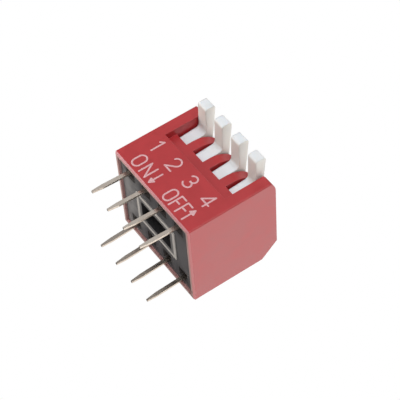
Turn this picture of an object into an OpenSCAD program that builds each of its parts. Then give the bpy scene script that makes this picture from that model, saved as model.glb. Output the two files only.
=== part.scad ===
// Four-position piano-type DIP switch, millimetres.
// Origin: centre of the eight tails, on the plane where the housing meets the board.
// +X runs along the row from position 1 to 4, -Y is the lever side, +Z points off the board.

/* [Row] */
// Distance from one position to the next
pitch = 2.54; // [2.5:0.01:2.6]
// Distance between the front and the back row of tails
row_spacing = 7.62; // [7.4:0.02:7.8]

/* [Housing] */
// Length along the row
body_len = 11.6; // [11.3:0.01:13]
// Depth from front face to back face
body_depth = 10.1; // [9.9:0.1:12]
// Height above the board
body_h = 9.31; // [9.2:0.01:10.5]
// Wall thickness round the open bottom
rim_wall = 0.42; // [0.36:0.02:0.6]
// Thickness of the front and back walls beside the lever cells
cell_wall = 0.75; // [0.65:0.05:0.8]
// Thickness of the wall over the lever cells
top_wall = 0.55; // [0.4:0.05:0.6]
// Height of the recess's ledge above the board
ledge_z = 4.69; // [4.4:0.01:4.9]
// Width of each lever slot and of the cell behind it
slot_w = 1.58; // [1.52:0.02:1.66]
// Height of the pivot above each slot's sill
sill_drop = 0.63; // [0.56:0.01:0.74]
// Radius of the round over the front top edge
top_round = 1.62; // [1.2:0.01:2]
// Depth and height of the bevel along the back top edge
bevel_y = 1.66; // [1.2:0.01:1.8]
bevel_z = 1.81; // [1.2:0.01:1.9]
// Radius of the upright corners
corner_r = 0.12; // [0.05:0.01:0.3]
// Bevel round the foot of the outer walls
foot_bevel = 0.16; // [0.05:0.01:0.2]

/* [Pivot] */
// Distance of the pivot behind the front face
pivot_back = 3.76; // [3.65:0.01:3.85]
// Distance of the pivot below the top face
pivot_drop = 2.8; // [2.7:0.01:2.9]
// Radius of each trunnion
trunnion_r = 0.4; // [0.35:0.01:0.45]
// Running clearance round each trunnion
trunnion_gap = 0.05; // [0.02:0.01:0.08]
// Radius of the ribs' nose, about the pivot
nose_r = 3; // [2.95:0.01:3.1]

/* [Lever] */
// Width of the arm and the knob
lever_w = 1.2; // [1:0.02:1.3]
// Swing from OFF (up) to ON (down), degrees
throw = 22; // [18:1:23]
// Distance of the arm's face from the pivot
face_r = 2.63; // [2.5:0.01:2.7]
// Forward lean of the arm's face, degrees
lean = 4; // [0:0.5:6]
// Upward slope of the knob's top and of its underside, degrees
knob_rise = 7; // [5:0.5:9]
under_rise = 2; // [1:0.5:4]
// Height of the knob's tip
knob_h = 1.08; // [0.95:0.01:1.15]
// Distance of the knob's tip from the pivot
knob_reach = 6; // [5:0.01:7]
// Radius between the arm and the knob's underside
knob_fillet = 0.4; // [0.2:0.01:0.5]
// Corner radius along the knob and up its tip, and radius across the tip
knob_round = 0.3; // [0.15:0.01:0.4]
tip_round = 0.28; // [0.1:0.01:0.3]
// Width and thickness of the foot that holds the spring
foot_w = 1.5; // [1.3:0.01:1.7]
foot_t = 1.4; // [1.3:0.01:1.44]

/* [Contact] */
// Radius of the contact ball
ball_r = 0.4; // [0.35:0.01:0.42]
// How far the ball stands out of the foot
ball_show = 0.25; // [0.2:0.01:0.3]
// Depth of the spring's bore in the foot
bore_depth = 1.55; // [1.4:0.01:1.7]
// Radius of the spring wire
wire_r = 0.05; // [0.04:0.005:0.06]
// Turns of the spring
turns = 5; // [4:1:6]
// Gap between the two contact pads of one position
pad_gap = 0.4; // [0.3:0.01:0.5]
// Width of a contact pad
pad_w = 0.9; // [0.8:0.01:1]
// Thickness of the terminal strip
strip_t = 0.2; // [0.16:0.01:0.26]
// Radius inside the terminal's bend
bend_r = 0.15; // [0.1:0.01:0.2]

/* [Tails] */
// Length of the tails below the housing
tail_len = 3.76; // [3:0.01:4.5]
// Width of a tail, and of its tip
tail_w = 0.4; // [0.34:0.01:0.5]
tip_w = 0.2; // [0.14:0.01:0.3]
// Length of the tapered tip
tip_len = 1.1; // [0.8:0.1:2]
// Outward splay of the tails, degrees
splay = 2.9; // [0:0.1:3.5]

/* [Base] */
// Height of the base's top face above the board
base_top = 3.15; // [3:0.05:3.3]
// Height of the base's underside above the board
base_floor = 0.25; // [0.22:0.01:0.5]
// Length and depth of the collar under the base
collar_len = 6.1; // [5.6:0.05:6.4]
collar_depth = 3.85; // [3.4:0.05:4]
// Wall thickness of the collar
collar_wall = 0.72; // [0.5:0.01:0.9]
// Depth of the pocket inside the collar
pocket_depth = 1.85; // [1:0.05:2.2]
// Clearance between the base and the housing
base_fit = 0.03; // [0.02:0.01:0.05]
// Radius of the snap bead on each end of the base
bead_r = 0.14; // [0.1:0.01:0.16]

/* [Hidden] */
$fn = 48;

poles = 4;
big = 30;               // longer than anything that it cuts
overshoot = 0.5;        // how far a cutter runs past a face

front_y = -body_depth / 2;
back_y = body_depth / 2;
end_x = body_len / 2;
pivot_y = front_y + pivot_back;
pivot_z = body_h - pivot_drop;
function pole_x(i) = (i - (poles + 1) / 2) * pitch;
recess_x = pole_x(poles) + slot_w / 2;  // the end cheeks stand outside this

// Cells behind the slots
rib_y = pivot_y - nose_r;               // front plane of the ribs
lip_y = pivot_y - face_r;               // inner face of the thin wall under each slot
sill_z = pivot_z - sill_drop;
sill_bevel = 0.15;
top_edge = 1.14;                        // depth of the rounded front top edge
cell_front = front_y + cell_wall;
cell_back = back_y - cell_wall;
cell_top = body_h - top_wall;
slope_drop = 0.08;                      // ledge to the slope that thins the front wall
slope_h = 0.37;
slope_high = ledge_z - slope_drop;
slope_low = slope_high - slope_h;
notch_r = trunnion_r + trunnion_gap;

// Lever, about its own pivot
crown_gap = 0.13;                       // lever crown to the wall over it
crown_r = pivot_drop - top_wall - crown_gap;
crown_step = 0.03;                      // the hub lies this much below the knob's top
up = [sin(knob_rise), cos(knob_rise)];  // normal of the knob's top
under = [sin(under_rise), cos(under_rise)];
knob_mid = (knob_rise + under_rise) / 2;
ahead = [-cos(knob_mid), sin(knob_mid)];
tip_top = meet(ahead, knob_reach, up, crown_r);
under_r = under * (tip_top - knob_h * [sin(knob_mid), cos(knob_mid)]);
out = [-cos(lean), -sin(lean)];         // normal of the arm's face
heel_sweep = 34;                        // sector of the arm below its face, degrees
stop_gap = 0.03;                        // knob's top to the edge of the slot at OFF
slot_back = pivot_y + (crown_r + stop_gap - (pivot_drop - top_wall) * up.y) / up.x;
hub_w = slot_w - 0.16;
hub_r = 0.8;
trunnion_bite = 0.4;                    // length of a trunnion inside its notch
trunnion_len = slot_w + 2 * trunnion_bite;

// Ball and spring, on the foot's axis
ball_fit = 0.03;                        // ball to bore
ball_gap = 0.03;                        // ball to pads where it passes closest
pad_proud = 0.05;
pad_top = base_top + pad_proud;
pad_low = pad_top - strip_t;
path_r = pivot_z - pad_top - ball_gap - ball_r;
foot_len = path_r + ball_r - ball_show;
bore_r = ball_r + ball_fit;
bore_end = foot_len - bore_depth;
coil_r = bore_r - wire_r - 0.05;
coil_low = path_r - sqrt(pow(ball_r + wire_r, 2) - pow(coil_r, 2)) - 0.01;
coil_high = bore_end + wire_r + 0.01;
coil_steps = 12;                        // rings in each turn
coil_sides = 6;

// Terminals
row_y = row_spacing / 2;
gap_y = pivot_y + path_r * sin(throw / 2);      // the ball's place at ON
shoulder_h = 0.35;                              // height of the widened strip under the pad
shoulder_z = pad_low - shoulder_h;
splay_z = base_floor - 0.1;                     // the tails bend outwards here
slot_fit = 0.02;                                // terminal to base

// Base
base_x = end_x - rim_wall - base_fit;
base_y = back_y - rim_wall - base_fit;
collar_low = 0.15;                      // collar's rim above the board
well_x = 1.3;                           // wells round the tails under the base
well_y = 1.3;
well_depth = 0.7;
well_shift = 0.42;                      // wells lie a little inboard of their tails
bead_z = 1.6;
bead_len = 4;
bead_sink = 0.04;                       // bead's axis inside the end face
post_fit = 0.03;                        // post to the notch that it closes
post_drop = 0.28;                       // post's tips below the pivot's axis
post_top = pivot_z - post_drop;
end_post_t = trunnion_bite - 0.01;
notch_x = recess_x + trunnion_bite + trunnion_gap;

// Point where the lines n1.P = d1 and n2.P = d2 meet
function meet(n1, d1, n2, d2) =
    let (det = n1.x * n2.y - n1.y * n2.x)
    [(d1 * n2.y - d2 * n1.y) / det, (n1.x * d2 - n2.x * d1) / det];

// Extrudes a (y, z) outline along X, centred on x
module along_x(x, length) {
    translate([x - length / 2, 0, 0]) rotate([90, 0, 90]) linear_extrude(length) children();
}

// Box between two corners
module block(low, high) {
    translate(low) cube(high - low);
}

// Rectangle of the given size with its four corners rounded
module round_rect(size, r) {
    difference() {
        square(size, center = true);
        for (sx = [-1, 1], sy = [-1, 1])
            translate([sx * (size.x / 2 - r), sy * (size.y / 2 - r)])
                difference() {
                    translate([sx > 0 ? 0 : -2 * r, sy > 0 ? 0 : -2 * r]) square(2 * r);
                    circle(r);
                }
    }
}

// Side outline of the housing
module housing_side() {
    difference() {
        polygon([
            [front_y + foot_bevel, 0], [back_y - foot_bevel, 0], [back_y, foot_bevel],
            [back_y, body_h - bevel_z], [back_y - bevel_y, body_h],
            [front_y, body_h], [front_y, foot_bevel]]);
        translate([front_y - overshoot, body_h - top_round])
            difference() {
                square([overshoot + top_edge, big]);
                translate([overshoot + top_edge, 0]) circle(top_round, $fn = 96);
            }
    }
}

// Front and back bevels come with the side outline, this one bevels the two ends
module housing_end() {
    polygon([
        [-end_x + foot_bevel, 0], [end_x - foot_bevel, 0], [end_x, foot_bevel],
        [end_x, body_h], [-end_x, body_h], [-end_x, foot_bevel]]);
}

// Everything in front of the ribs and over their noses
module recess_side() {
    difference() {
        translate([front_y - overshoot, ledge_z])
            square([pivot_back + overshoot, body_h]);
        translate([pivot_y, pivot_z]) circle(nose_r, $fn = 96);
        translate([rib_y, ledge_z - overshoot])
            square([nose_r + overshoot, pivot_z - ledge_z + overshoot]);
    }
}

// One lever's cell, with its slot through the front and the top
module cell_side() {
    reach_y = front_y - overshoot;
    reach_z = body_h + overshoot;
    bevel_shift = bevel_y - cell_wall / 2;
    polygon([
        [cell_front, base_top - overshoot], [cell_front, slope_low],
        [lip_y, slope_high], [lip_y, sill_z - sill_bevel], [lip_y - sill_bevel, sill_z],
        [reach_y, sill_z], [reach_y, reach_z],
        [slot_back, reach_z], [slot_back, cell_top],
        [cell_back - bevel_shift, cell_top],
        [cell_back, cell_top - bevel_shift * bevel_z / bevel_y],
        [cell_back, base_top - overshoot]]);
}

// Outline of a trunnion's notch, open towards the base
module notch_side() {
    translate([pivot_y, pivot_z]) circle(notch_r);
    translate([pivot_y - notch_r, base_top - overshoot])
        square([2 * notch_r, pivot_z - base_top + overshoot]);
}

module housing() color("firebrick") {
    difference() {
        intersection() {
            along_x(0, body_len) housing_side();
            rotate([90, 0, 0]) linear_extrude(big, center = true) housing_end();
            linear_extrude(big) round_rect([body_len, body_depth], corner_r);
        }
        along_x(0, 2 * recess_x) recess_side();
        block([-end_x + rim_wall, front_y + rim_wall, -overshoot],
              [end_x - rim_wall, back_y - rim_wall, base_top]);
        for (i = [1:poles]) along_x(pole_x(i), slot_w) cell_side();
        along_x(0, 2 * notch_x) notch_side();
        for (side = [-1, 1])
            translate([side * (base_x - bead_sink), 0, bead_z])
                rotate([90, 0, 0]) cylinder(h = bead_len + 0.1, r = bead_r + base_fit, center = true);
    }
}

// Outline of a bearing post, hollowed on top for the trunnion
module post_side() {
    difference() {
        translate([pivot_y - notch_r + post_fit, base_top - overshoot])
            square([2 * (notch_r - post_fit), post_top - base_top + overshoot]);
        translate([pivot_y, pivot_z]) circle(notch_r);
    }
}

module base() color("dimgray") {
    difference() {
        union() {
            block([-base_x, -base_y, base_floor], [base_x, base_y, base_top]);
            block([-collar_len / 2, -collar_depth / 2, collar_low],
                  [collar_len / 2, collar_depth / 2, base_floor + overshoot]);
            for (i = [1:poles - 1])
                along_x(pole_x(i) + pitch / 2, pitch - slot_w - 2 * post_fit) post_side();
            for (side = [-1, 1])
                along_x(side * (notch_x - post_fit - end_post_t / 2), end_post_t) post_side();
            for (side = [-1, 1])
                translate([side * (base_x - bead_sink), 0, bead_z])
                    rotate([90, 0, 0]) cylinder(h = bead_len, r = bead_r, center = true);
        }
        block([-collar_len / 2 + collar_wall, -collar_depth / 2 + collar_wall, collar_low - overshoot],
              [collar_len / 2 - collar_wall, collar_depth / 2 - collar_wall, collar_low + pocket_depth]);
        for (i = [1:poles], side = [-1, 1]) {
            translate([pole_x(i), side * (row_y - well_shift), base_floor])
                cube([well_x, well_y, 2 * well_depth], center = true);
            terminal_way(i, side);
        }
    }
}

// Inner end of the contact pad of a row, -1 front and 1 back
function pad_end(side) = gap_y + side * pad_gap / 2;

// Room for one terminal in the base
module terminal_way(i, side) {
    outer = side * (row_y + strip_t / 2 + slot_fit);
    inner = side * (row_y - strip_t / 2 - slot_fit);
    heel = side * (row_y - strip_t / 2 - bend_r - slot_fit);
    translate([pole_x(i), 0, 0]) {
        block([-tail_w / 2 - slot_fit, min(outer, inner), 0],
              [tail_w / 2 + slot_fit, max(outer, inner), base_top]);
        block([-pad_w / 2 - slot_fit, min(outer, heel), shoulder_z - slot_fit],
              [pad_w / 2 + slot_fit, max(outer, heel), base_top + overshoot]);
        block([-pad_w / 2 - slot_fit, min(outer, pad_end(side) - side * slot_fit), pad_low],
              [pad_w / 2 + slot_fit, max(outer, pad_end(side) - side * slot_fit), base_top + overshoot]);
    }
}

// Side outline of a front terminal above the board: upright strip, bend and pad
module strip_side(pad_length) {
    inner = -row_y + strip_t / 2;
    centre_z = pad_low - bend_r;
    translate([-row_y - strip_t / 2, splay_z]) square([strip_t, centre_z - splay_z]);
    translate([inner + bend_r, centre_z])
        intersection() {
            difference() {
                circle(bend_r + strip_t);
                circle(bend_r);
            }
            translate([-bend_r - strip_t, 0]) square(bend_r + strip_t);
        }
    translate([inner + bend_r, pad_low]) square([pad_length - strip_t / 2 - bend_r, strip_t]);
}

// Side outline of a front tail, splayed outwards below the bend
module tail_side() {
    drop = splay_z + tail_len;
    shift = drop * tan(splay);
    polygon([
        [-row_y - strip_t / 2, splay_z], [-row_y - strip_t / 2 - shift, -tail_len],
        [-row_y + strip_t / 2 - shift, -tail_len], [-row_y + strip_t / 2, splay_z]]);
}

// Front outline of a tail with its tapered tip, up to the shoulder
module tail_front() {
    polygon([
        [-tip_w / 2, -tail_len], [tip_w / 2, -tail_len], [tail_w / 2, tip_len - tail_len],
        [tail_w / 2, shoulder_z], [-tail_w / 2, shoulder_z], [-tail_w / 2, tip_len - tail_len]]);
}

// One stamped terminal, -1 front and 1 back
module terminal(i, side) color("tan") {
    pad_length = row_y + side * -1 * pad_end(side);
    translate([pole_x(i), 0, 0]) mirror([0, side > 0 ? 1 : 0, 0]) {
        intersection() {
            along_x(0, tail_w) {
                strip_side(pad_length);
                tail_side();
            }
            rotate([90, 0, 0]) linear_extrude(big, center = true) tail_front();
        }
        intersection() {
            along_x(0, pad_w) strip_side(pad_length);
            block([-pad_w, -big, shoulder_z], [pad_w, big, pad_top]);
        }
    }
}

// Cutter that rounds the corner where the lines n1.P = d1 and n2.P = d2 meet
module corner_cut(n1, d1, n2, d2, r) {
    centre = meet(n1, d1 - r, n2, d2 - r);
    difference() {
        polygon([centre, centre + (r + overshoot) * n1,
                 meet(n1, d1 + overshoot, n2, d2 + overshoot), centre + (r + overshoot) * n2]);
        translate(centre) circle(r);
    }
}

// Side outline of the knob, a wedge that grows towards its rounded tip
module knob_side() {
    difference() {
        polygon([under_r * under, crown_r * up, tip_top, meet(ahead, knob_reach, under, under_r)]);
        corner_cut(ahead, knob_reach, up, crown_r, tip_round);
        corner_cut(ahead, knob_reach, -under, -under_r, tip_round);
    }
}

// Side outline of the lever's hub, arm and knob, about the pivot
module lever_side() {
    corner = meet(out, face_r, under, under_r);
    centre = meet(out, face_r + knob_fillet, under, under_r - knob_fillet);
    heel = -[cos(lean + heel_sweep), sin(lean + heel_sweep)];
    circle(crown_r - crown_step, $fn = 96);
    polygon([[0, 0], face_r * out, meet(out, face_r, up, crown_r), crown_r * up]);
    intersection() {
        circle(face_r, $fn = 96);
        polygon([[0, 0], big * (out + up / 4), big * heel]);
    }
    difference() {
        polygon([corner + knob_fillet * (under - out), centre - knob_fillet * out,
                 centre, centre + knob_fillet * under]);
        translate(centre) circle(knob_fillet);
    }
    knob_side();
}

// Cutter that rounds one top edge of the knob, outside the slot
module knob_edge(side) {
    rotate([-knob_rise, 0, 0])
        translate([side * (lever_w / 2 - knob_round), -face_r - knob_fillet, crown_r - knob_round])
            rotate([90, 0, 0]) linear_extrude(knob_reach)
                difference() {
                    translate([side > 0 ? 0 : -knob_round - overshoot, 0])
                        square(knob_round + overshoot);
                    circle(knob_round);
                }
}

// Cutter that rounds one upright edge of the knob's tip
module tip_edge(side) {
    rotate([-knob_mid, 0, 0])
        translate([side * (lever_w / 2 - knob_round), knob_round - knob_reach, 0])
            linear_extrude(big, center = true)
                difference() {
                    translate([side > 0 ? 0 : -knob_round - overshoot, -knob_round - overshoot])
                        square(knob_round + overshoot);
                    circle(knob_round);
                }
}

module lever(i) color("white") {
    translate([pole_x(i), pivot_y, pivot_z])
        difference() {
            union() {
                along_x(0, lever_w) lever_side();
                rotate([0, 90, 0]) cylinder(h = hub_w, r = hub_r, center = true);
                rotate([0, 90, 0]) cylinder(h = trunnion_len, r = trunnion_r, center = true);
                rotate([-throw / 2, 0, 0])
                    block([-foot_t / 2, -foot_w / 2, -foot_len], [foot_t / 2, foot_w / 2, 0]);
            }
            for (side = [-1, 1]) {
                knob_edge(side);
                tip_edge(side);
            }
            rotate([-throw / 2, 0, 0])
                translate([0, 0, -foot_len - overshoot])
                    cylinder(h = bore_depth + overshoot, r = bore_r);
        }
}

// Point k of a ring of the spring's wire, after a turns
function coil_point(a, k, rise) =
    let (around = 360 * k / coil_sides, reach = coil_r + wire_r * cos(around))
    [reach * cos(360 * a), reach * sin(360 * a), rise * a + wire_r * sin(around)];

module spring(i) color("silver") {
    rings = turns * coil_steps;
    rise = (coil_low - coil_high) / turns;
    points = [for (j = [0:rings], k = [0:coil_sides - 1]) coil_point(j / coil_steps, k, rise)];
    walls = [for (j = [0:rings - 1], k = [0:coil_sides - 1])
        let (a = j * coil_sides + k, b = j * coil_sides + (k + 1) % coil_sides)
        [a, b, b + coil_sides, a + coil_sides]];
    first = [for (k = [coil_sides - 1:-1:0]) k];
    last = [for (k = [0:coil_sides - 1]) rings * coil_sides + k];
    translate([pole_x(i), pivot_y, pivot_z]) rotate([-throw / 2, 0, 0])
        translate([0, 0, -coil_low])
            polyhedron(points, concat(walls, [first, last]), convexity = 8);
}

module ball(i) color("gold") {
    translate([pole_x(i), pivot_y, pivot_z]) rotate([-throw / 2, 0, 0])
        translate([0, 0, -path_r]) sphere(ball_r);
}

housing();
base();
for (i = [1:poles]) {
    terminal(i, -1);
    terminal(i, 1);
    lever(i);
    spring(i);
    ball(i);
}
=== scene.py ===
"""Finish of a four-position piano-type DIP switch.

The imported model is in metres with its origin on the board's top, under the middle of the eight
tails: +X runs from position 1 to 4, -Y is the lever side and +Z points off the board. Lengths
below are written in millimetres.
"""

import math

import bpy
from mathutils import Matrix, Vector


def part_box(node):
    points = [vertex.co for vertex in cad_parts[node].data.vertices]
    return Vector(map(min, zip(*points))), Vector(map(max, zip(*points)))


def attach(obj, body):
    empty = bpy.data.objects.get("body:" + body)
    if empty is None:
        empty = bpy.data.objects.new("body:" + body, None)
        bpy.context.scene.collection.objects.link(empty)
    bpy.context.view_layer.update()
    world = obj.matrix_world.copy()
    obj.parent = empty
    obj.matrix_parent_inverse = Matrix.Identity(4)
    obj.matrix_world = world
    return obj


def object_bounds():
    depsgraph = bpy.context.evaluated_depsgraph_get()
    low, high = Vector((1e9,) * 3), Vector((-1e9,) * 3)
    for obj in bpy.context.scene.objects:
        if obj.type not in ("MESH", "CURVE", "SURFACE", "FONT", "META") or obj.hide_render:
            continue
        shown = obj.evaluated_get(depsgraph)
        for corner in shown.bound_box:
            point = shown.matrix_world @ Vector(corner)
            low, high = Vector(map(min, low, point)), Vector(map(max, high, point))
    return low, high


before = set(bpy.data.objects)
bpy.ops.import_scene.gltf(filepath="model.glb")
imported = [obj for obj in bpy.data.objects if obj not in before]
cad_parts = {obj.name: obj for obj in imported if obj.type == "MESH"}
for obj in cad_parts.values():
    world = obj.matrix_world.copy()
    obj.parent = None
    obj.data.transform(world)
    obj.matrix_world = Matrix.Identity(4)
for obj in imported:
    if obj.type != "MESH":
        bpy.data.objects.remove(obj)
cad_box = [list(corner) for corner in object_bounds()]


# ---------------------------------------------------------------------------------------------
# Housing: one injection moulding in red thermoplastic, open at the bottom, where the base snaps
# in. Its cavity was spark eroded, which leaves a fine satin skin, and its sharp outer edges are
# rubbed pale. The bevel round its foot and the bottom faces of its walls carry painted highlights,
# and its inner corners and the inner faces of its walls painted shade.
# ---------------------------------------------------------------------------------------------

MM = 0.001

HOUSING_RED = (0.445, 0.015, 0.0205, 1)
HOUSING_CLOUD = (0.395, 0.011, 0.0155, 1)     # darker clouds in the red
HOUSING_CORNER_SHADE = (0.36, 0.012, 0.016, 1)      # painted shade in inner corners
HOUSING_EDGE = (0.80, 0.36, 0.38, 1)          # rubbed outer edges
FOOT_HIGHLIGHT = (0.51, 0.17, 0.19, 1)             # painted highlight on the bevel round the foot
END_HIGHLIGHT = (0.75, 0.22, 0.23, 1)              # brighter painted highlight on the same bevel at the +X end
RIM_HIGHLIGHT = (0.60, 0.38, 0.35, 1)              # painted highlight on the bottom faces of the walls
CAVITY_WALL_SHADE = (0.43, 0.22, 0.21, 1)            # painted shade on the inner faces of the walls, brownish grey
FOOT_TOP = 0.25          # the bevel round the foot ends below this height
RIM_WALL = 0.42          # thickness of the walls round the open bottom
CAVITY_TOP = 3.2         # height up to which their inner faces carry that painted shade


def add(tree, kind, inputs=None, **settings):
    """A node of that kind. inputs gives values, or outputs to link, by socket name or number."""
    node = tree.nodes.new(kind)
    for name, value in settings.items():
        setattr(node, name, value)
    for socket, value in (inputs or {}).items():
        if isinstance(value, bpy.types.NodeSocket):
            tree.links.new(value, node.inputs[socket])
        else:
            node.inputs[socket].default_value = value
    return node


def maths(tree, operation, first, second=0.0):
    """Output of one arithmetic step."""
    return add(tree, "ShaderNodeMath", {0: first, 1: second}, operation=operation).outputs[0]


def both(tree, *masks):
    """Mask that is 1 only where all of them are."""
    result = masks[0]
    for mask in masks[1:]:
        result = maths(tree, "MULTIPLY", result, mask)
    return result


def span(tree, value, low, high, to_low=0.0, to_high=1.0):
    """Output that maps value from low..high to to_low..to_high, and holds beyond them."""
    return add(tree, "ShaderNodeMapRange", {
        "Value": value, "From Min": low, "From Max": high,
        "To Min": to_low, "To Max": to_high}).outputs["Result"]


def above(tree, value, limit, soft=0.02):
    """Mask that rises from 0 at the limit to 1 where value is more than soft over it."""
    return span(tree, value, limit, limit + soft)


def below(tree, value, limit, soft=0.02):
    """Mask that rises from 0 at the limit to 1 where value is more than soft under it."""
    return span(tree, value, limit, limit - soft)


def uneven(tree, noise, low, high):
    """Output that wanders with a noise from low to high."""
    return span(tree, noise, 0.3, 0.7, low, high)


def blend(tree, amount, low, high, strength=None):
    """Output that goes from colour low to colour high with amount, times strength if given."""
    if strength is not None:
        amount = maths(tree, "MULTIPLY", amount, strength)
    node = tree.nodes.new("ShaderNodeMix")
    node.data_type = "RGBA"
    ends = {"Factor": amount, "A": low, "B": high}
    for socket in node.inputs:
        if socket.enabled and socket.name in ends:
            value = ends[socket.name]
            if isinstance(value, bpy.types.NodeSocket):
                tree.links.new(value, socket)
            else:
                socket.default_value = value
    return next(socket for socket in node.outputs if socket.enabled)


def split(tree, vector):
    """X, Y and Z outputs of a vector."""
    return add(tree, "ShaderNodeSeparateXYZ", {"Vector": vector}).outputs


def facing(tree):
    """X, Y and Z outputs of the surface's own direction."""
    return split(tree, add(tree, "ShaderNodeTexCoord").outputs["Normal"])


def inset(tree, x, y, half_x, half_y):
    """How far a point lies inside an upright box round the middle, below 0 outside it."""
    return maths(tree, "MINIMUM",
                 maths(tree, "SUBTRACT", half_x, maths(tree, "ABSOLUTE", x)),
                 maths(tree, "SUBTRACT", half_y, maths(tree, "ABSOLUTE", y)))


def new_group(name, takes, gives):
    """A node group. takes is {name: (socket type, default)} and gives is {name: socket type}."""
    tree = bpy.data.node_groups.new(name, "ShaderNodeTree")
    for label, (kind, default) in takes.items():
        socket = tree.interface.new_socket(label, in_out="INPUT", socket_type="NodeSocket" + kind)
        if default is not None:
            socket.default_value = default
    for label, kind in gives.items():
        tree.interface.new_socket(label, in_out="OUTPUT", socket_type="NodeSocket" + kind)
    return tree, tree.nodes.new("NodeGroupInput").outputs, tree.nodes.new("NodeGroupOutput").inputs


def made_skin():
    """Skin of a spark-eroded cavity: pits about as wide as Pit (mm), and clouds as Cloud (mm)."""
    tree, takes, gives = new_group(
        "moulded_skin",
        {"Vector": ("Vector", None), "Pit": ("Float", 0.08), "Cloud": ("Float", 2.0)},
        {"Height": "Float", "Clouds": "Float"})
    pits = add(tree, "ShaderNodeTexNoise", {
        "Vector": takes["Vector"], "Scale": maths(tree, "DIVIDE", 1.0, takes["Pit"]),
        "Detail": 3.0, "Roughness": 0.6})
    clouds = add(tree, "ShaderNodeTexNoise", {
        "Vector": takes["Vector"], "Scale": maths(tree, "DIVIDE", 1.0, takes["Cloud"]),
        "Detail": 4.0, "Distortion": 0.6})
    tree.links.new(pits.outputs["Fac"], gives["Height"])
    tree.links.new(clouds.outputs["Fac"], gives["Clouds"])
    return tree


def made_wear_and_shade():
    """Masks of rubbed outer edges and shaded inner corners, about as wide as their reach (m)."""
    tree, takes, gives = new_group(
        "edge_and_corner",
        {"Vector": ("Vector", None), "Reach": ("Float", 0.1 * MM), "Corner Reach": ("Float", 0.3 * MM)},
        {"Edge": "Float", "Corner": "Float"})
    solid = add(tree, "ShaderNodeAmbientOcclusion", {"Distance": takes["Reach"]},
                inside=True, only_local=True, samples=8)
    space = add(tree, "ShaderNodeAmbientOcclusion", {"Distance": takes["Corner Reach"]},
                only_local=True, samples=8)
    patches = add(tree, "ShaderNodeTexNoise", {"Vector": takes["Vector"], "Scale": 2.2, "Detail": 3.0})
    patchy = span(tree, patches.outputs["Fac"], 0.3, 0.65, 0.35, 1.0)
    sharp = span(tree, solid.outputs["AO"], 0.62, 0.35)      # from nearly flat to a sharp edge
    deep = span(tree, space.outputs["AO"], 0.9, 0.3)         # from open to deep in a corner
    tree.links.new(both(tree, sharp, patchy), gives["Edge"])
    tree.links.new(deep, gives["Corner"])
    return tree


moulded_skin = made_skin()
edge_and_corner = made_wear_and_shade()


def new_material(name):
    """A material, its tree, its Principled shader and the object's own coordinates in mm."""
    material = bpy.data.materials.new(name)
    material.use_nodes = True
    tree = material.node_tree
    place = add(tree, "ShaderNodeTexCoord")
    millimetres = add(tree, "ShaderNodeMapping", {
        "Vector": place.outputs["Object"], "Scale": (1 / MM, 1 / MM, 1 / MM)})
    return material, tree, tree.nodes["Principled BSDF"], millimetres.outputs["Vector"]


def moulded(name, pit, cloud, edge, corner):
    """A new material with a moulding's skin, its edge wear and painted shade in its corners: the widths of
    its pits and clouds, and how far the rubbing of its edges and the painted shade of its corners reach."""
    material, tree, surface, at = new_material(name)
    skin = add(tree, "ShaderNodeGroup", {"Vector": at, "Pit": pit, "Cloud": cloud},
               node_tree=moulded_skin)
    # masks of the edges' wear and of the painted shade in the corners
    wear_and_shade = add(tree, "ShaderNodeGroup", {"Vector": at, "Reach": edge * MM, "Corner Reach": corner * MM},
               node_tree=edge_and_corner)
    return material, tree, surface, at, skin.outputs, wear_and_shade.outputs


def rounded_normal(tree, height, depth, radius):
    """Normal of a surface with a grain of that depth and edges rounded to that radius."""
    rounded = add(tree, "ShaderNodeBevel", {"Radius": radius * MM}, samples=6)
    bump = add(tree, "ShaderNodeBump", {
        "Height": height, "Distance": depth * MM, "Strength": 1.0, "Normal": rounded.outputs["Normal"]})
    return bump.outputs["Normal"]


def coat(tree, surface, colour, roughness, normal=None):
    """Links a surface's colour and roughness, and its normal where it has one."""
    tree.links.new(colour, surface.inputs["Base Color"])
    tree.links.new(roughness, surface.inputs["Roughness"])
    if normal is not None:
        tree.links.new(normal, surface.inputs["Normal"])


def dress(nodes, material):
    """Gives the named nodes that finish."""
    for name in nodes:
        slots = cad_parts[name].data.materials
        slots.clear()
        slots.append(material)


housing_red, tree, surface, at, skin, wear_and_shade = moulded(
    "housing_red", pit=0.07, cloud=2.2, edge=0.07, corner=0.35)
x, y, z = split(tree, at)
turned = facing(tree)
colour = blend(tree, span(tree, skin["Clouds"], 0.35, 0.65), HOUSING_CLOUD, HOUSING_RED)
# painted shade in the inner corners
colour = blend(tree, wear_and_shade["Corner"], colour, HOUSING_CORNER_SHADE, strength=0.2)
colour = blend(tree, wear_and_shade["Edge"], colour, HOUSING_EDGE, strength=0.5)

# painted highlight on the slanting bevel round the foot, brighter towards the +X end
at_foot = below(tree, z, FOOT_TOP)
slanting = both(tree, below(tree, turned["Z"], -0.5, soft=0.1), above(tree, turned["Z"], -0.95, soft=0.1))
bevel_highlight = blend(tree, above(tree, turned["X"], 0.2, soft=0.3), FOOT_HIGHLIGHT, END_HIGHLIGHT)
colour = blend(tree, both(tree, at_foot, slanting), colour, bevel_highlight)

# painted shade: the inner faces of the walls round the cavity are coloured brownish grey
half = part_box("housing")[1] / MM
inward = inset(tree, x, y, half.x, half.y)
in_cavity = both(tree, above(tree, inward, RIM_WALL - 0.05), below(tree, z, CAVITY_TOP, soft=0.05))
colour = blend(tree, in_cavity, colour, CAVITY_WALL_SHADE)
# painted highlight on the flat bottom faces of the walls
underneath = both(tree, at_foot, below(tree, turned["Z"], -0.9, soft=0.08))
colour = blend(tree, underneath, colour, RIM_HIGHLIGHT)

coat(tree, surface, colour, uneven(tree, skin["Clouds"], 0.40, 0.48),
     rounded_normal(tree, skin["Height"], depth=0.004, radius=0.04))
surface.inputs["Specular IOR Level"].default_value = 0.80
dress(["housing"], housing_red)


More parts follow.
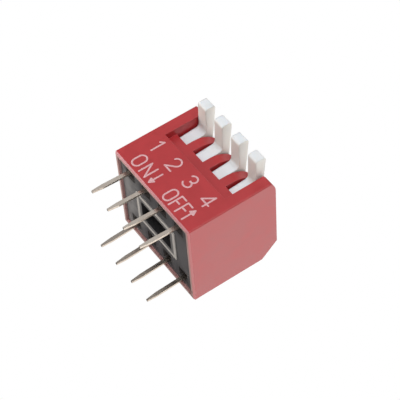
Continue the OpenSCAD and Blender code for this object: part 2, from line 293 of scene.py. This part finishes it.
# ---------------------------------------------------------------------------------------------
# Base: a dark moulding that snaps into the housing from below. The eight tails come out of small
# open wells, painted lighter inside and with painted shade round them, and the collar round its
# pocket is paler along its edge. Painted light makes the base lighter grey towards its ends, its
# pocket is painted black as shade and its inner corners carry painted shade.
# ---------------------------------------------------------------------------------------------

BASE_DARK = (0.072, 0.069, 0.076, 1)
BASE_LIT_GREY = (0.260, 0.252, 0.252, 1)
# painted shade in inner corners
BASE_CORNER_SHADE = (0.016, 0.015, 0.018, 1)
BASE_EDGE = (0.30, 0.29, 0.29, 1)
COLLAR_PALE = (0.56, 0.53, 0.50, 1)
# painted shade: the deep pocket is coloured near black
POCKET_SHADE_BLACK = (0.011, 0.010, 0.012, 1)
WELL_LIT_GREY = (0.120, 0.105, 0.100, 1)          # painted light inside the wells, paler than their shade
WELL_SHADE = (0.022, 0.020, 0.021, 1)              # painted shade round the wells
LIT_LEFT = (-2.2, -4.2)      # x where the painted light starts, and where it is full
LIT_RIGHT = (2.6, 4.4)
PITCH = 2.54
WELL_Y = 3.39                 # the wells' middles lie this far from the middle
WELL_SHADE_REACH = 1.35            # from a well's middle
BASE_FLOOR = 0.25             # heights above the board
COLLAR_TOP = 0.24
COLLAR_LOW = 0.15
COLLAR_LENGTH, COLLAR_DEPTH = 6.1, 3.85
POCKET_LENGTH, POCKET_DEPTH = 4.66, 2.41
PALE_BAND_WIDTH = 0.30           # of the band along the collar's outer edge

base_dark, tree, surface, at, skin, wear_and_shade = moulded(
    "base_dark", pit=0.11, cloud=1.1, edge=0.09, corner=0.5)
x, y, z = split(tree, at)
# painted light: the base turns lighter grey towards its ends, most at the -X end, unevenly with the clouds
lit_ends = maths(tree, "MAXIMUM", span(tree, x, *LIT_LEFT, 0.15, 1.0), span(tree, x, *LIT_RIGHT, 0.15, 0.32))
lit_ends = both(tree, span(tree, skin["Clouds"], 0.30, 0.60, 0.4, 1.0), lit_ends)
colour = blend(tree, lit_ends, BASE_DARK, BASE_LIT_GREY)

# painted shade round each well, fading with distance from its middle
beside = maths(tree, "SUBTRACT", maths(tree, "FLOORED_MODULO", x, PITCH), PITCH / 2)
beyond = maths(tree, "SUBTRACT", maths(tree, "ABSOLUTE", y), WELL_Y)
from_well = maths(tree, "SQRT", maths(tree, "ADD", maths(tree, "MULTIPLY", beside, beside),
                                      maths(tree, "MULTIPLY", beyond, beyond)))
colour = blend(tree, below(tree, from_well, WELL_SHADE_REACH, soft=0.8), colour, WELL_SHADE, strength=0.6)

# a paler band along the collar's outer edge
collar_inset = inset(tree, x, y, COLLAR_LENGTH / 2, COLLAR_DEPTH / 2)
band = span(tree, collar_inset, PALE_BAND_WIDTH + 0.12, PALE_BAND_WIDTH, 0.15, 1.0)
colour = blend(tree, both(tree, below(tree, z, COLLAR_TOP, soft=0.01), band), colour, COLLAR_PALE)
# painted shade in the inner corners
colour = blend(tree, wear_and_shade["Corner"], colour, BASE_CORNER_SHADE, strength=0.35)
# painted light inside the wells, paler than their shade
colour = blend(tree, above(tree, z, BASE_FLOOR + 0.02, soft=0.10), colour, WELL_LIT_GREY, strength=0.8)
colour = blend(tree, wear_and_shade["Edge"], colour, BASE_EDGE, strength=0.5)
# painted shade: the pocket is coloured near black
in_pocket = both(tree, above(tree, z, COLLAR_LOW + 0.01, soft=0.03),
                 above(tree, inset(tree, x, y, POCKET_LENGTH / 2, POCKET_DEPTH / 2), -0.02))
colour = blend(tree, in_pocket, colour, POCKET_SHADE_BLACK)

coat(tree, surface, colour, uneven(tree, skin["Clouds"], 0.5, 0.7),
     rounded_normal(tree, skin["Height"], depth=0.008, radius=0.04))
dress(["base"], base_dark)


# ---------------------------------------------------------------------------------------------
# Terminals: blanked and bent from rolled brass strip, tinned, and held by the base. The rolled
# faces keep fine lines along the strip, and the sheared edges are duller and browner.
# ---------------------------------------------------------------------------------------------

POLES = 4
TIN = (0.70, 0.64, 0.57, 1)
TIN_WARM = (0.65, 0.575, 0.50, 1)
TIN_BACK_SHADE = (0.34, 0.30, 0.26, 1)              # painted shade on the back row
SHEARED = (0.36, 0.30, 0.25, 1)
ROLLING = (12, 12, 0.7)                       # lines per mm across the strip, and along it

tinned, tree, surface, at = new_material("tinned_terminal")
along = add(tree, "ShaderNodeMapping", {"Vector": at, "Scale": ROLLING})
lines = add(tree, "ShaderNodeTexNoise", {"Vector": along.outputs["Vector"], "Scale": 1.0, "Detail": 3.0})
patches = add(tree, "ShaderNodeTexNoise", {
    "Vector": at, "Scale": 1.6, "Detail": 4.0, "Roughness": 0.6}).outputs["Fac"]
sideways = maths(tree, "ABSOLUTE", facing(tree)["X"])
colour = blend(tree, span(tree, patches, 0.4, 0.68), TIN, TIN_WARM)
# painted shade: the back row is darker than the front
colour = blend(tree, span(tree, split(tree, at)["Y"], -1.0, 1.0), colour, TIN_BACK_SHADE, strength=0.6)
colour = blend(tree, above(tree, sideways, 0.6, soft=0.3), colour, SHEARED, strength=0.7)
surface.inputs["Metallic"].default_value = 1.0
coat(tree, surface, colour, uneven(tree, patches, 0.22, 0.34),
     rounded_normal(tree, lines.outputs["Fac"], depth=0.0012, radius=0.02))
dress([f"terminal_{row}_{i}" for row in ("front", "back") for i in range(1, POLES + 1)], tinned)


# ---------------------------------------------------------------------------------------------
# Levers: rockers moulded in white nylon, one for each position, which turn on their own
# trunnions. They are a little translucent, with a satin skin.
# ---------------------------------------------------------------------------------------------

NYLON = (0.80, 0.81, 0.835, 1)
NYLON_CLOUD = (0.76, 0.77, 0.785, 1)
NYLON_SIDE_LIGHT = (0.73, 0.72, 0.675, 1)           # painted warmer, dimmer light on faces turned away from the front
# painted shade in inner corners
NYLON_CORNER_SHADE = (0.60, 0.57, 0.52, 1)

lever_white, tree, surface, at, skin, wear_and_shade = moulded(
    "lever_white", pit=0.06, cloud=1.5, edge=0.06, corner=0.3)
# painted light: faces turned away from the front are warmer and dimmer
turned_away = span(tree, facing(tree)["Y"], -0.97, -0.2)
colour = blend(tree, span(tree, skin["Clouds"], 0.35, 0.65), NYLON_CLOUD, NYLON)
colour = blend(tree, turned_away, colour, NYLON_SIDE_LIGHT, strength=0.85)
# painted shade in the inner corners
colour = blend(tree, wear_and_shade["Corner"], colour, NYLON_CORNER_SHADE, strength=0.15)
coat(tree, surface, colour, uneven(tree, skin["Clouds"], 0.38, 0.5),
     rounded_normal(tree, skin["Height"], depth=0.003, radius=0.2))
surface.inputs["Subsurface Weight"].default_value = 0.5
surface.inputs["Subsurface Radius"].default_value = (1.0, 0.9, 0.8)
surface.inputs["Subsurface Scale"].default_value = 0.35 * MM
dress([f"lever_{i}" for i in range(1, POLES + 1)], lever_white)


# ---------------------------------------------------------------------------------------------
# Springs: coils of drawn steel wire, one in the bore of each lever's foot. Each pushes its ball
# onto the contact pads.
# ---------------------------------------------------------------------------------------------

STEEL_DARK = (0.42, 0.42, 0.44, 1)
STEEL_BRIGHT = (0.64, 0.64, 0.66, 1)


def bare_metal(name, scale, detail, dark, bright, smooth, rough):
    """A metal that one noise varies between two colours and two roughnesses."""
    material, tree, surface, at = new_material(name)
    noise = add(tree, "ShaderNodeTexNoise", {
        "Vector": at, "Scale": scale, "Detail": detail}).outputs["Fac"]
    surface.inputs["Metallic"].default_value = 1.0
    coat(tree, surface, blend(tree, noise, dark, bright), uneven(tree, noise, smooth, rough))
    return material


spring_steel = bare_metal("spring_steel", 18.0, 3.0, STEEL_DARK, STEEL_BRIGHT, smooth=0.22, rough=0.4)
dress([f"spring_{i}" for i in range(1, POLES + 1)], spring_steel)


# ---------------------------------------------------------------------------------------------
# Balls: gold-plated steel contacts, one under each spring. Each bridges the two contact pads of
# its position when the lever is down.
# ---------------------------------------------------------------------------------------------

GOLD_DEEP = (0.78, 0.55, 0.22, 1)
GOLD_BRIGHT = (0.90, 0.70, 0.34, 1)

ball_plated = bare_metal("ball_plated", 9.0, 4.0, GOLD_DEEP, GOLD_BRIGHT, smooth=0.15, rough=0.3)
dress([f"ball_{i}" for i in range(1, POLES + 1)], ball_plated)


# ---------------------------------------------------------------------------------------------
# Printing: white ink stamped on the front face, thin enough for the red to show through. The
# positions are numbered, and two words with arrows say which way a lever is on.
# ---------------------------------------------------------------------------------------------

INK_THIN = (0.54, 0.215, 0.235, 1)
INK_FULL = (0.74, 0.475, 0.49, 1)
INK_WIDTH = 0.17
INK_HEIGHT = 0.014
INK_SIDES = ((-1, 0), (-0.8, 0.75), (0, 1), (0.8, 0.75), (1, 0))   # across, and up from the face
CAP_TURNS = (85, 60, 30)      # degrees, steps round each stroke's end
NUMBERS_Z = 3.42              # middle of the numbers' height
WORDS_Z = 1.20                # middle of the words' height
TALL = 1.46                   # height between the middles of the top and bottom strokes
TOP, FOOT = NUMBERS_Z + TALL / 2, NUMBERS_Z - TALL / 2

print_white, tree, surface, at = new_material("print_white")
speckle = add(tree, "ShaderNodeTexNoise", {
    "Vector": at, "Scale": 14.0, "Detail": 4.0, "Roughness": 0.65}).outputs["Fac"]
thin = add(tree, "ShaderNodeBump", {"Height": speckle, "Distance": 0.006 * MM})
coat(tree, surface, blend(tree, span(tree, speckle, 0.3, 0.62), INK_THIN, INK_FULL),
     uneven(tree, speckle, 0.6, 0.45), thin.outputs["Normal"])
front_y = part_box("housing")[0].y / MM


def arc(centre, across, up, start, end, steps=10):
    """Points on an ellipse from start to end, degrees anticlockwise from +X."""
    turns = [math.radians(start + (end - start) * k / steps) for k in range(steps + 1)]
    return [(centre[0] + across * math.cos(a), centre[1] + up * math.sin(a)) for a in turns]


def ink_stroke(vertices, faces, path):
    """Adds one low, round-ended stroke of ink along a path of (x, z) points."""
    points = [Vector(p) for p in path]
    ways = [(points[min(k + 1, len(points) - 1)] - points[max(k - 1, 0)]).normalized()
            for k in range(len(points))]
    half = INK_WIDTH / 2
    caps = [(math.sin(math.radians(t)) * half, math.cos(math.radians(t))) for t in CAP_TURNS]
    rings = [(points[0] - ways[0] * run, ways[0], scale) for run, scale in caps]
    rings += [(point, way, 1) for point, way in zip(points, ways)]
    rings += [(points[-1] + ways[-1] * run, ways[-1], scale) for run, scale in reversed(caps)]
    first = len(vertices)
    for centre, way, scale in rings:
        side = Vector((way.y, -way.x)) * half * scale
        for across, up in INK_SIDES:
            place = centre + side * across
            vertices.append((place.x * MM, (front_y - up * INK_HEIGHT * scale) * MM, place.y * MM))
    sides = len(INK_SIDES)
    for ring in range(len(rings) - 1):
        for k in range(sides - 1):
            a = first + ring * sides + k
            faces.append((a, a + 1, a + 1 + sides, a + sides))
    faces.append(tuple(first + k for k in reversed(range(sides))))
    faces.append(tuple(len(vertices) - sides + k for k in range(sides)))


def printed(name, strokes):
    """One print of several strokes, carried by the housing."""
    vertices, faces = [], []
    for path in strokes:
        ink_stroke(vertices, faces, path)
    mesh = bpy.data.meshes.new(name)
    mesh.from_pydata(vertices, [], faces)
    mesh.shade_smooth()
    mesh.materials.append(print_white)
    print_piece = bpy.data.objects.new(name, mesh)
    bpy.context.collection.objects.link(print_piece)
    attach(print_piece, "root")


def in_letter(x, width, points):
    """Points given as shares of half a letter's width and height, set round its middle."""
    return [(x + u * width / 2, WORDS_Z + v * TALL / 2) for u, v in points]


def letter_o(x, width):
    """Two half circles joined by straight sides, in one stroke."""
    half = width / 2
    high, low = WORDS_Z + TALL / 2 - half, WORDS_Z - TALL / 2 + half
    return [arc((x, high), half, half, 0, 180) + arc((x, low), half, half, 180, 360)
            + [(x + half, high)]]


def letter_n(x, width):
    """Left side, diagonal and right side."""
    return [in_letter(x, width, [(-1, -1), (-1, 1)]),
            in_letter(x, width, [(-1, 1), (1, -1)]),
            in_letter(x, width, [(1, -1), (1, 1)])]


def letter_f(x, width):
    """Left side, top bar and a shorter middle bar."""
    return [in_letter(x, width, [(-1, -1), (-1, 1)]),
            in_letter(x, width, [(-1, 1), (1, 1)]),
            in_letter(x, width, [(-1, 0.05), (0.7, 0.05)])]


def arrow(x, way):
    """An upright arrow, way 1 up and -1 down."""
    tip, head, wing = WORDS_Z + way * TALL / 2, 0.42, 0.24
    shaft = [(x, WORDS_Z - way * TALL / 2), (x, tip)]
    back = [(x - wing, tip - way * head), (x + wing, tip - way * head)]
    barbs = [[(x, tip), (x + side * wing, tip - way * head)] for side in (-1, 1)]
    return [shaft, back] + barbs


# strokes through (x, z) points on the front face
printed("number_1", [[(-4.17, 3.86), (-3.86, TOP)], [(-3.86, TOP), (-3.86, FOOT)]])
printed("number_2", [arc((-1.27, TOP - 0.46), 0.46, 0.46, 165, -35)
                     + [(-1.72, FOOT)], [(-1.72, FOOT), (-0.82, FOOT)]])
printed("number_3", [arc((1.22, TOP - 0.38), 0.41, 0.38, 160, -90),
                     arc((1.22, FOOT + 0.38), 0.46, 0.38, 90, -155)])
printed("number_4", [[(4.12, FOOT), (4.12, TOP)], [(4.12, TOP), (3.36, FOOT + 0.42)],
                     [(3.36, FOOT + 0.42), (4.40, FOOT + 0.42)]])
printed("word_on", letter_o(-3.5, 0.88) + letter_n(-2.1, 0.86))
printed("arrow_on", arrow(-0.94, -1))
printed("word_off", letter_o(1.42, 0.80) + letter_f(2.48, 0.62) + letter_f(3.42, 0.62))
printed("arrow_off", arrow(4.18, 1))


# ---------------------------------------------------------------------------------------------
# Floor: a pale paper sheet that the switch stands on with its tails. It shows only from above
# and fades into the white round it. It doesn't block the light from below.
# ---------------------------------------------------------------------------------------------

FLOOR_PALE = (0.86, 0.86, 0.86, 1)
FLOOR_SIZE = 800
FADE_START, FADE_END = 30, 180        # distances from the middle
floor_z = cad_box[0][2]

pale_sheet, tree, surface, at = new_material("pale_sheet")
surface.inputs["Base Color"].default_value = FLOOR_PALE
surface.inputs["Roughness"].default_value = 0.8
paper = add(tree, "ShaderNodeTexNoise", {"Vector": at, "Scale": 3.0, "Detail": 3.0})
tooth = add(tree, "ShaderNodeBump", {"Height": paper.outputs["Fac"], "Distance": 0.01 * MM})
tree.links.new(tooth.outputs["Normal"], surface.inputs["Normal"])
ray = add(tree, "ShaderNodeLightPath")
side = add(tree, "ShaderNodeNewGeometry")
seen = add(tree, "ShaderNodeMath", {0: ray.outputs["Is Camera Ray"], 1: side.outputs["Backfacing"]},
           operation="SUBTRACT", use_clamp=True)
away = add(tree, "ShaderNodeVectorMath", {0: at}, operation="LENGTH").outputs["Value"]
laid = both(tree, seen.outputs[0], span(tree, away, FADE_START, FADE_END, 1.0, 0.0))
clear = add(tree, "ShaderNodeBsdfTransparent")
sheet = add(tree, "ShaderNodeMixShader", {
    0: laid, 1: clear.outputs["BSDF"], 2: surface.outputs["BSDF"]})
tree.links.new(sheet.outputs["Shader"], tree.nodes["Material Output"].inputs["Surface"])

bpy.ops.mesh.primitive_plane_add(size=FLOOR_SIZE * MM, location=(0, 0, floor_z))
floor = bpy.context.object
floor.name = "floor"
floor.data.materials.append(pale_sheet)


# ---------------------------------------------------------------------------------------------
# Studio: a white room with a glow from the back right, five soft boxes and a long lens that
# looks up at the switch's front, right-hand end and underside.
# ---------------------------------------------------------------------------------------------

GLOW_FROM = Vector((0.53, 0.78, 0.32))
GLOW_START, GLOW_FULL = 0.3, 0.95     # cosines of the angle from its middle
GLOW_STRENGTH = 1.80
AMBIENT = 0.10
ROOM_TINT = (1.0, 0.985, 0.960, 1)
WHITE = (1, 1, 1, 1)

world = bpy.data.worlds.new("studio")
bpy.context.scene.world = world
world.use_nodes = True
tree = world.node_tree
sky = tree.nodes["Background"]
way = add(tree, "ShaderNodeTexCoord").outputs["Generated"]
ray = add(tree, "ShaderNodeLightPath").outputs["Is Camera Ray"]
towards = add(tree, "ShaderNodeVectorMath", {0: way, 1: GLOW_FROM.normalized()}, operation="DOT_PRODUCT")
glow = add(tree, "ShaderNodeMapRange", {
    "Value": towards.outputs["Value"], "From Min": GLOW_START, "From Max": GLOW_FULL,
    "To Min": 0.0, "To Max": GLOW_STRENGTH}, interpolation_type="SMOOTHSTEP")
around = maths(tree, "ADD", glow.outputs["Result"], AMBIENT)
shown = add(tree, "ShaderNodeMix", {0: ray, 2: around, 3: 1.0})
tree.links.new(shown.outputs[0], sky.inputs["Strength"])
tree.links.new(blend(tree, ray, ROOM_TINT, WHITE), sky.inputs["Color"])

# direction from the switch, distance, size, power in watts, colour
SOFT_BOXES = {
    "key": ((0.24, -0.97, 0.05), 260, 160, 0.460, (0.94, 0.98, 1.0)),
    "front": ((0.34, -0.60, -0.70), 160, 180, 0.082, (1.0, 0.99, 0.97)),
    "side": ((-0.53, -0.72, 0.44), 120, 100, 0.017, (1.0, 0.98, 0.98)),
    "high": ((-0.20, -0.25, 0.95), 120, 80, 0.032, (1.0, 0.98, 0.96)),
    "low": ((-0.80, -0.20, -0.56), 40, 30, 0.0115, (1.0, 0.96, 0.91)),
}
for name, (direction, distance, size, power, tint) in SOFT_BOXES.items():
    lamp = bpy.data.lights.new(name, "AREA")
    lamp.size = size * MM
    lamp.energy = power
    lamp.color = tint
    box = bpy.data.objects.new(name, lamp)
    bpy.context.collection.objects.link(box)
    place = Vector(direction).normalized()
    box.location = place * distance * MM
    box.rotation_euler = place.to_track_quat("Z", "Y").to_euler()

AZIMUTH, ELEVATION, ROLL = 34.14, -18.67, 59.84
AIM = Vector((2.505, -3.702, 3.470))
DISTANCE = 133.5
LENS = 136.82
SENSOR = 36

camera_data = bpy.data.cameras.new("camera")
camera_data.lens = LENS
camera_data.sensor_width = SENSOR
camera_data.clip_start = 10 * MM
camera = bpy.data.objects.new("camera", camera_data)
bpy.context.collection.objects.link(camera)
turn = (Matrix.Rotation(math.radians(AZIMUTH), 4, "Z")
        @ Matrix.Rotation(math.radians(90 - ELEVATION), 4, "X")
        @ Matrix.Rotation(math.radians(ROLL), 4, "Z"))
camera.matrix_world = Matrix.Translation(AIM * MM) @ turn @ Matrix.Translation((0, 0, DISTANCE * MM))
bpy.context.scene.camera = camera
bpy.context.scene.view_settings.view_transform = "Standard"
